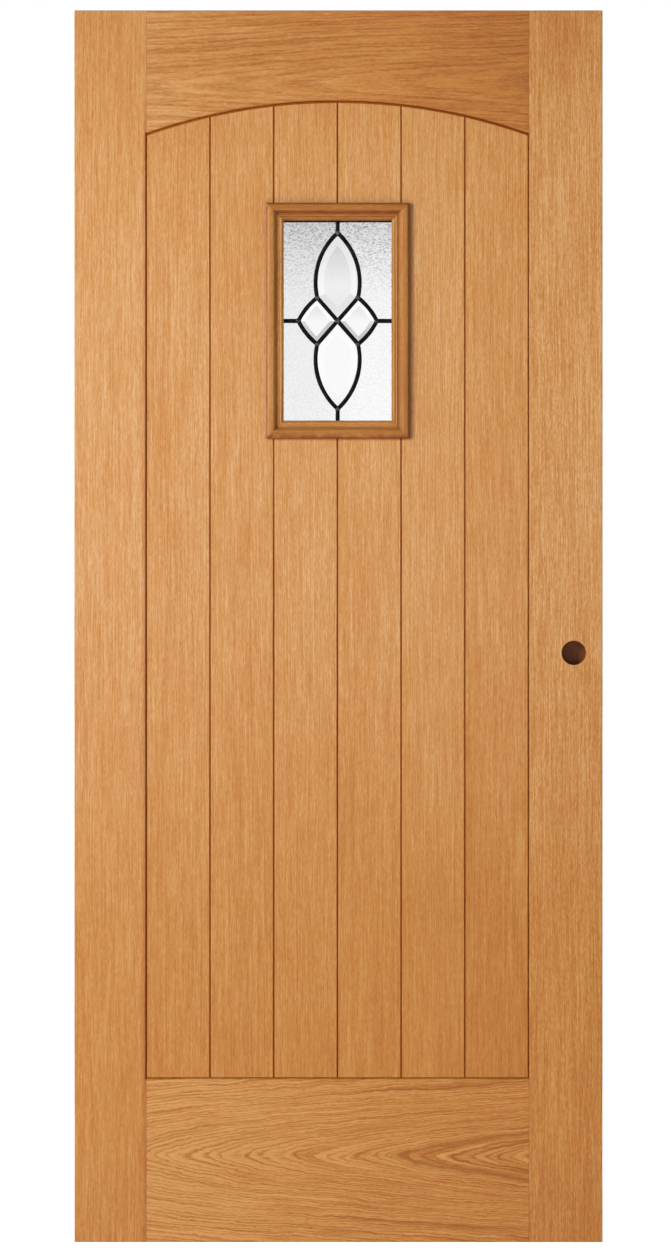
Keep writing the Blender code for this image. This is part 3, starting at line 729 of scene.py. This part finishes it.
def patterned_pane(vertical, side):
    """A corner pane with pebbles on its front and a flat back, inside the outline of its plain solid."""
    name = f"pane_{vertical}_{side}"
    lo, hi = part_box(name)
    edge, outer = inner_edge(name)
    low, high = edge[0][0], edge[-1][0]
    up = 1 if vertical == "upper" else -1
    right = 1 if side == "right" else -1
    points = []
    for row in range(PANE_ROWS + 1):
        height = low + (high - low) * row / PANE_ROWS
        start = side_at(edge, height)
        for column in range(PANE_COLUMNS + 1):
            reach = start + (outer - start) * column / PANE_COLUMNS
            x, z = WINDOW_X + right * reach, WINDOW_Z + up * height
            points.append((x, lo.y + PEBBLE_SINK + pebbles(x, z), z))
    width = PANE_COLUMNS + 1
    faces = [(i, i + 1, i + 1 + width, i + width)
             for row in range(PANE_ROWS) for i in range(row * width, row * width + PANE_COLUMNS)]
    rim = list(range(width))
    rim += [row * width + PANE_COLUMNS for row in range(1, PANE_ROWS + 1)]
    rim += [PANE_ROWS * width + column for column in reversed(range(PANE_COLUMNS))]
    rim += [row * width for row in reversed(range(1, PANE_ROWS))]
    first = len(points)
    count = len(rim)
    points += [(points[i][0], hi.y, points[i][2]) for i in rim]
    faces += [(rim[i], first + i, first + (i + 1) % count, rim[(i + 1) % count]) for i in range(count)]
    faces.append(tuple(range(first, first + count)))
    if up * right < 0:
        faces = [face[::-1] for face in faces]
    material = glass(f"glass_{vertical}_{side}", patterned_shaded_tint, roughness=0.05, grain_scale=160.0,
                     grain_height=0.0002)
    piece = new_piece("glass_" + name, points, faces, material, flat=count + 1)
    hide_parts(name)


# Lead and solder

def metal(name, dark, pale, specular, roughness):
    """Dark cloudy metal with a fine grain."""
    material, g = new_material(name)
    place = g.place()
    cloud = g.noise(place, detail=3.0, scale=120.0)
    grain = g.noise(place, detail=3.0, scale=900.0)
    colour = g.ramp(g.maths("ADD", g.maths("MULTIPLY", cloud, 1.4), 0.5), ((0.3, dark), (0.75, pale)))
    gloss = g.maths("ADD", g.maths("MULTIPLY", cloud, 0.35), roughness)
    g.surface({"Base Color": colour, "Roughness": gloss, "Normal": g.bump(grain, 0.0002),
               "Specular IOR Level": specular})
    return material


def lead_lines():
    """The lines of lead from the window's centre, each as its points."""
    shoulder = Vector(SHOULDER)
    lines = []
    for across in (1, -1):
        lines.append(arc((CLUSTER_HALF_WIDTH * across, 0), (BORDER_HALF_WIDTH * across, 0), 0, 6))
        lines.append(arc((0, CLUSTER_HALF_HEIGHT * across), (0, BORDER_HALF_HEIGHT * across), 0, 6))
        side = BORDER_HALF_WIDTH * across
        end = BORDER_HALF_HEIGHT + CAME_WIDTH / 2
        lines.append(arc((side, -end), (side, end), 0, 60))
        top = BORDER_HALF_HEIGHT if across < 0 else BORDER_HALF_HEIGHT - BORDER_SHOWS
        lines.append(arc((-BORDER_HALF_WIDTH, across * top), (BORDER_HALF_WIDTH, across * top), 0, 36))
        for up in (1, -1):
            corner = (shoulder.x * across, shoulder.y * up)
            lines.append(arc((0, 0), corner, 0, 10))
            lines.append(arc(corner, (0, CLUSTER_HALF_HEIGHT * up), TALL_SWELL, 28))
            lines.append(arc(corner, (CLUSTER_HALF_WIDTH * across, 0), SIDE_SWELL, 12))
    return lines


def came_section():
    """The lead's section as across and depth pairs: a domed front, the flanges' heart and a domed back."""
    half, heart = CAME_WIDTH / 2, CAME_HEART / 2
    front_edge = FLANGE_FRONT_Y - CAME_EDGE
    back_edge = FLANGE_BACK_Y + CAME_EDGE
    angles = [math.pi / 2 * i / CAME_STEPS for i in range(CAME_STEPS + 1)]
    front = [(half * math.sin(angle), front_edge - (front_edge - CAME_FRONT_Y) * math.cos(angle))
             for angle in angles]
    back = [(half * math.cos(angle), back_edge + (CAME_BACK_Y - back_edge) * math.sin(angle))
            for angle in angles]
    inner = [(half, FLANGE_FRONT_Y), (heart, FLANGE_FRONT_Y), (heart, FLANGE_BACK_Y), (half, FLANGE_BACK_Y)]
    right = front + inner + back
    return right + [(-across, depth) for across, depth in reversed(right[1:-1])]


def lead_share(line):
    """A lead's width as a share of the section's. Three sides of the border are the narrow ones."""
    on_border = all(abs(end.x) > BORDER_HALF_WIDTH - SAME_PLACE for end in (line[0], line[-1]))
    return BORDER_WIDTH / CAME_WIDTH if on_border and line[0].y < 0 else BROAD_LEAD_SHARE


def leadwork(material):
    """Domed leads with the slight unevenness of lead dressed by hand."""
    section = came_section()
    count = len(section)
    points, faces = [], []
    for line in lead_lines():
        first = len(points)
        share = lead_share(line)
        for i, place in enumerate(line):
            ahead = (line[min(i + 1, len(line) - 1)] - line[max(i - 1, 0)]).normalized()
            aside = Vector((-ahead.y, ahead.x))
            uneven = LEAD_UNEVENNESS * noise.noise(Vector((*place * LEAD_WAVES, 3.0)))
            for across, depth in section:
                spot = place + aside * across * (share + uneven)
                points.append((WINDOW_X + spot.x, depth, WINDOW_Z + spot.y))
        faces += tube_faces(first, count, len(line) - 1)
    piece = new_piece("leadwork", points, faces, material)
    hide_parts("lead_came")


def solder_places():
    """Where leads meet, as x and z from the window's centre and the button's radius."""
    places = [(0.0, 0.0, CENTRE_BUTTON)]
    for across in (1, -1):
        places.append((CLUSTER_HALF_WIDTH * across, 0.0, OUTER_BUTTON))
        places.append((0.0, CLUSTER_HALF_HEIGHT * across, OUTER_BUTTON))
        places.extend((SHOULDER[0] * across, SHOULDER[1] * up, OUTER_BUTTON) for up in (1, -1))
    return places


def solder_joints(material):
    """A flat uneven button of solder on both sides of each place where leads meet."""
    rise = CAME_BACK_Y - FLANGE_BACK_Y + BUTTON_SINK
    turns = [2 * math.pi * spoke / BUTTON_SPOKES for spoke in range(BUTTON_SPOKES)]
    points, faces = [], []
    for x, z, radius in solder_places():
        for outwards, low in ((-1, FLANGE_FRONT_Y - BUTTON_SINK), (1, FLANGE_BACK_Y + BUTTON_SINK)):
            first = len(points)
            points.append((WINDOW_X + x, low + outwards * rise, WINDOW_Z + z))
            for ring in range(1, BUTTON_RINGS + 1):
                share = ring / BUTTON_RINGS
                height = rise * math.sqrt(max(0.0, 1 - share ** 3))
                for turn in turns:
                    cosine, sine = math.cos(turn), math.sin(turn)
                    uneven = noise.noise(Vector((x * BUTTON_WAVES + cosine, z * BUTTON_WAVES + sine,
                                                 5.0 * outwards)))
                    reach = radius * share * (1 + BUTTON_UNEVENNESS * uneven * share)
                    points.append((WINDOW_X + x + reach * cosine, low + outwards * height,
                                   WINDOW_Z + z + reach * sine))
            rows = [range(start, start + BUTTON_SPOKES)
                    for start in range(first + 1, len(points), BUTTON_SPOKES)]
            for spoke in range(BUTTON_SPOKES):
                after = (spoke + 1) % BUTTON_SPOKES
                corners = [(first, rows[0][spoke], rows[0][after])]
                corners += [(a[spoke], b[spoke], b[after], a[after]) for a, b in zip(rows, rows[1:])]
                faces += corners if outwards < 0 else [face[::-1] for face in corners]
            faces.append(tuple(rows[-1])[::outwards])
    piece = new_piece("solder_joints", points, faces, material)


# Finish of the leaf

BOARD_TONES = {"board_1": 0.635, "board_2": 0.635, "board_3_lower": 0.635, "board_3_upper": 0.635,
               "board_4_lower": 0.62, "board_4_upper": 0.63, "board_5": 0.63, "board_6": 0.545}
HEARTS_ASIDE = (-0.16, 0.13)
LOCK_SIDE_DRIFT = 0.06

# Where the painted shade at the moulding's outer edge starts and is full, in metres outwards from the sight
# edge
EDGE_LINE = (0.0272, 0.0277)
EDGE_BAND = (0.0120, 0.0320)

# Each side of the moulding: tone, shade, strength of the dark lines and of the edge, and the edge's reach;
# these differ partly as painted shade
MOULDING_SIDES = (("top", 0.03, (0.81, 0.75, 0.52), 0.5, 0.25, EDGE_LINE),
                  ("left", 0.34, (0.90, 0.89, 0.76), 0.0, 0.7, EDGE_LINE),
                  ("bottom", 0.23, (0.99, 0.96, 0.82), 0.0, 1.2, EDGE_BAND),
                  ("right", 0.30, (0.85, 0.86, 0.77), 0.1, 0.35, EDGE_LINE))


def dress(name, material):
    """Gives a CAD node its finish."""
    for slot in NODES[name].material_slots:
        slot.material = material


def dress_stiles():
    hinge = cut_of("Z", 1.3, tone=0.675, heart=-0.3)
    lock = cut_of("Z", 7.9, tone=0.63, heart=1.3, contrast=1.6)
    # The hinge stile's chamfer and the band beside it get deeper painted shade than the lock stile's
    dress("hinge_stile", oak("oak_hinge_stile", hinge, frame_stain_and_shade(DEEP_STAIN_AND_SHADE, spread=0.55)))
    dress("lock_stile", oak("oak_lock_stile", lock, frame_stain_and_shade(LIGHT_STAIN_AND_SHADE)))


def dress_rails():
    """Rails with flat-sawn figure: fine waves in the top one, Vs and loops in the bottom one."""
    top = cut_of("X", 3.1, heart=0.936, pith=0.06, taper=0.035, ring=0.0056,
                 sway=0.05, wobble=0.006, ripple=0.002,
                 tone=0.82, drift=-0.86, contrast=0.85, streak=1.1, lines=0.75, bands=0.2, brown=0.8)
    bottom = cut_of("X", 5.7, heart=-0.918, pith=0.03, taper=0.25, spread=0.4, ring=0.0068,
                    sway=0.03, wobble=0.012, ripple=0.006,
                    tone=1.02, drift=-0.48, contrast=0.65, streak=1.6, lines=1.3, bands=0.8,
                    broad=(0.38, 0.52), brown=0.8, shade=(1.04, 1.04, 1.05))
    dress("top_rail", oak("oak_top_rail", top, frame_stain_and_shade(LIGHT_STAIN_AND_SHADE)))
    # The bottom rail's chamfer gets a painted highlight
    dress("bottom_rail", oak("oak_bottom_rail", bottom, frame_stain_and_shade(PAINTED_HIGHLIGHT)))


def dress_boards():
    """Boards cut from either side of the heart in turn, paler towards the head on the lock side."""
    for index, (name, tone) in enumerate(BOARD_TONES.items()):
        lo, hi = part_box(name)
        middle = (lo.x + hi.x) / 2
        drift = LOCK_SIDE_DRIFT if middle > WINDOW_X else 0.0
        cut = cut_of("Z", 11.0 + 3.7 * index, heart=middle + HEARTS_ASIDE[index % 2], tone=tone, drift=drift)
        dress(name, oak("oak_" + name, cut, board_stain_and_shade))


def dress_window():
    """The moulding in front of the glass and the plain beads behind it."""
    for index, (side, tone, shade, quirks, edge, reach) in enumerate(MOULDING_SIDES):
        grain = "X" if side in ("top", "bottom") else "Z"
        cut = cut_of(grain, 41.0 + 2.9 * index, tone=tone, shade=shade, ring=0.0035, heart=-0.5, mottle=1.0)
        material = oak("oak_moulding_" + side, cut, moulding_stain_and_shade(quirks, edge, reach))
        moulding_side(side, index * math.pi / 2, material)
        dress("bead_" + side, oak("oak_bead_" + side, dict(cut, seed=cut["seed"] + 13.0)))


def leaded_light():
    leadwork(metal("lead_black_patina", dark=grey(0.0015), pale=grey(0.006), specular=0.05, roughness=0.3))
    solder_joints(metal("solder_dark", dark=grey(0.006), pale=(0.05, 0.048, 0.046), specular=0.25,
                        roughness=0.32))
    for place in ("upper", "lower", "left", "right"):
        dress("bevel_" + place, glass("glass_bevel_" + place, bevelled_shaded_tint, roughness=0.02,
                                      grain_scale=500.0, grain_height=0.00004))
    for vertical in ("upper", "lower"):
        for side in ("left", "right"):
            patterned_pane(vertical, side)


# Floor, light and camera

# White round the horizon, where the photograph's backdrop is, and softer overhead
SKY = ((0.0, grey(1.0)), (0.092, grey(1.0)), (0.13, grey(0.66)), (0.2, grey(0.44)), (0.36, grey(0.32)),
       (1.0, grey(0.22)))
FLOOR_REACH = 80.0

# How far from the door the floor's glow starts to grow and is full, and the glow at both
GLOW_STARTS = 2.0
GLOW_FULL = 9.0
NEAR_GLOW = 0.65
FAR_GLOW = 0.85


def world_light():
    world = bpy.data.worlds.new("studio")
    bpy.context.scene.world = world
    g = Graph(world)
    up = g.axes(g.add("ShaderNodeTexCoord").outputs["Generated"])[2]
    background = g.add("ShaderNodeBackground", {"Color": g.ramp(up, SKY), "Strength": 1.0})
    g.add("ShaderNodeOutputWorld", {"Surface": background.outputs[0]})


def area_light(name, place, target, size, power):
    data = bpy.data.lights.new(name, "AREA")
    data.shape = "RECTANGLE"
    data.size, data.size_y = size
    data.energy = power
    light = bpy.data.objects.new(name, data)
    light.location = place
    light.rotation_euler = (Vector(target) - Vector(place)).to_track_quat("-Z", "Y").to_euler()
    light.visible_camera = False
    bpy.context.scene.collection.objects.link(light)


def floor():
    """A white floor under the door, which glows a little more far away to meet the backdrop."""
    corners = [(-FLOOR_REACH, -FLOOR_REACH), (FLOOR_REACH, -FLOOR_REACH),
               (FLOOR_REACH, FLOOR_REACH), (-FLOOR_REACH, FLOOR_REACH)]
    mesh = bpy.data.meshes.new("floor")
    mesh.from_pydata([(x, y, LEAF_FOOT_Z) for x, y in corners], [], [(0, 1, 2, 3)])
    material, g = new_material("floor_white")
    place = g.place()
    speckle = g.maths("ADD", g.noise(place, scale=3.0), 0.5)
    away = g.add("ShaderNodeVectorMath", {0: place}, operation="LENGTH").outputs["Value"]
    g.surface({"Base Color": g.ramp(speckle, ((0.0, grey(0.93)), (1.0, grey(0.95)))),
               "Roughness": 0.9, "Specular IOR Level": 0.0,
               "Emission Color": (1.0, 1.0, 1.0, 1.0),
               "Emission Strength": g.step(away, GLOW_STARTS, GLOW_FULL, NEAR_GLOW, FAR_GLOW)})
    mesh.materials.append(material)
    slab = bpy.data.objects.new("floor", mesh)
    bpy.context.scene.collection.objects.link(slab)


def camera():
    data = bpy.data.cameras.new("camera")
    data.sensor_width = SENSOR
    data.lens = SENSOR * CAMERA_DISTANCE / VIEW_HEIGHT
    data.clip_end = FAR_CLIP
    view = bpy.data.objects.new("camera", data)
    view.location = (CAMERA_X, LEAF_FRONT_Y - CAMERA_DISTANCE, CAMERA_Z)
    view.rotation_euler = (math.radians(90.0), 0.0, 0.0)
    bpy.context.scene.collection.objects.link(view)
    bpy.context.scene.camera = view


def studio():
    bpy.context.scene.view_settings.view_transform = "Standard"
    world_light()
    area_light("key", (-3.05, -3.5, 1.05), target=(0.45, 0.0, 0.2), size=(1.2, 1.3), power=279.0)
    area_light("rim", (1.3, 3.4, 2.7), target=(0.45, 0.0, 0.3), size=(2.0, 2.0), power=75.0)
    floor()
    camera()


dress_stiles()
dress_rails()
dress_boards()
dress_window()
leaded_light()
studio()
